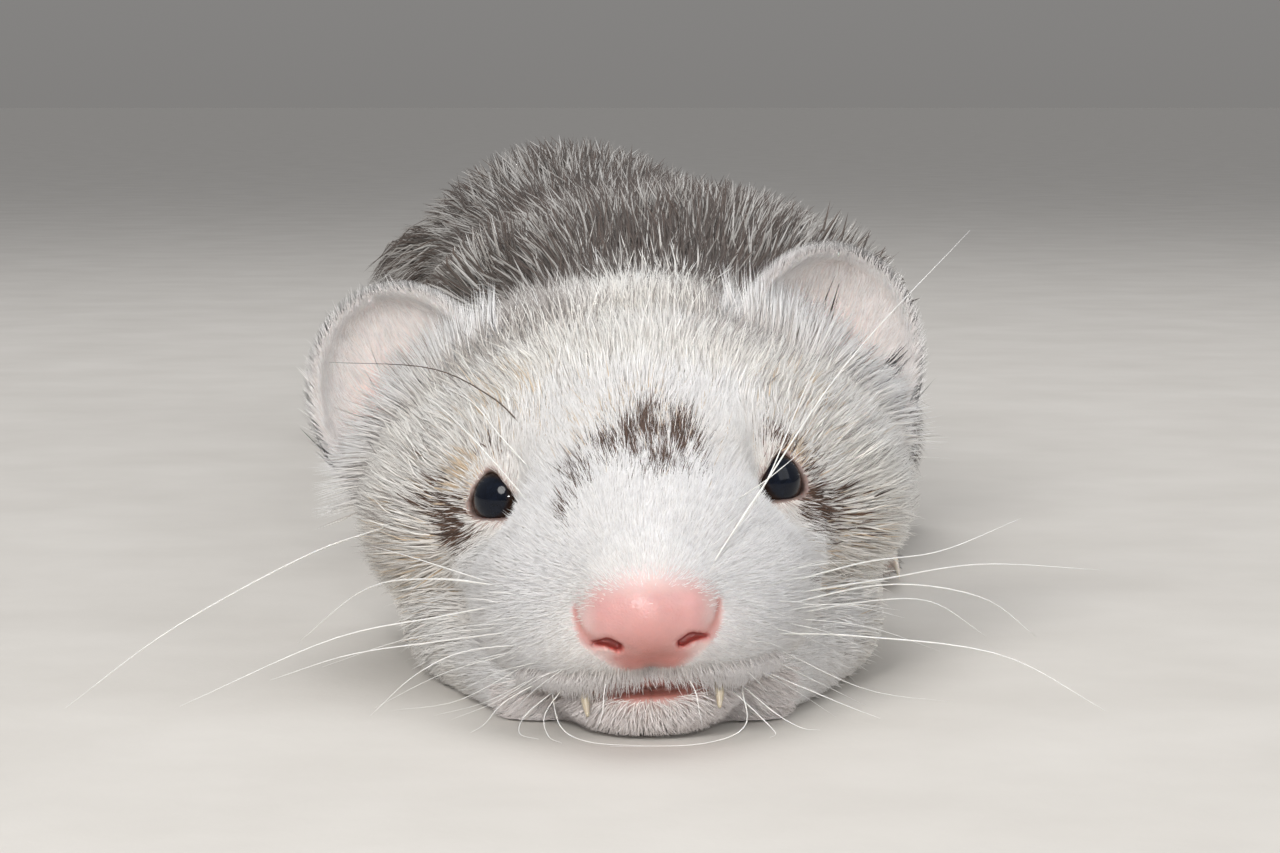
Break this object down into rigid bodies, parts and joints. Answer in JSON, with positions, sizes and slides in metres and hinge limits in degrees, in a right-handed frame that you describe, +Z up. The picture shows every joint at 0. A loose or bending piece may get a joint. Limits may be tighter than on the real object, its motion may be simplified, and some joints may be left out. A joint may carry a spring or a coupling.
{
  "type": "ferret",
  "caption": "Life-size ferret lying flat with its chin on the floor, looking ahead, with a white face and a roan back; still display model.",
  "frame": {"origin": "on the floor, under the middle of the animal's bounding box", "axes": "+Z up, +Y from the nose towards the tail (the ferret faces -Y), +X to the animal's left"},
  "size_m": [0.0914, 0.5062, 0.0552],
  "materials": {
    "coat_white": "soft white fur over a cream undercoat, matt",
    "coat_roan": "roan fur, white hairs mixed with dark brown guard hairs, matt with a slight sheen",
    "coat_dark": "dark brown fur with some white hairs, matt with a slight sheen",
    "ear_coat": "thin pink skin under short fine white fur",
    "nose_skin": "moist pink skin, finely pebbled",
    "eye": "wet, mirror-smooth, near black",
    "tooth": "glossy ivory",
    "claw": "translucent horn, satin"
  },
  "bodies": {
    "root": {"head": "coat_white", "lower_jaw": "coat_white", "nose": "nose_skin", "eye_r": "eye", "eye_l": "eye", "canine_r": "tooth", "canine_l": "tooth", "ear_r": "ear_coat", "ear_l": "ear_coat", "neck": "coat_white", "chest": "coat_roan", "loin": "coat_roan", "rump": "coat_roan", "tail_root": "coat_dark", "tail_tip": "coat_dark", "foreleg_r": "coat_dark", "forepaw_r": "coat_white", "thigh_r": "coat_roan", "hindfoot_r": "coat_white", "claw_fore_r_1": "claw", "claw_fore_r_2": "claw", "claw_fore_r_3": "claw", "claw_fore_r_4": "claw", "claw_fore_r_5": "claw", "claw_hind_r_1": "claw", "claw_hind_r_2": "claw", "claw_hind_r_3": "claw", "claw_hind_r_4": "claw", "claw_hind_r_5": "claw", "foreleg_l": "coat_dark", "forepaw_l": "coat_white", "thigh_l": "coat_roan", "hindfoot_l": "coat_white", "claw_fore_l_1": "claw", "claw_fore_l_2": "claw", "claw_fore_l_3": "claw", "claw_fore_l_4": "claw", "claw_fore_l_5": "claw", "claw_hind_l_1": "claw", "claw_hind_l_2": "claw", "claw_hind_l_3": "claw", "claw_hind_l_4": "claw", "claw_hind_l_5": "claw"}
  },
  "joints": []
}
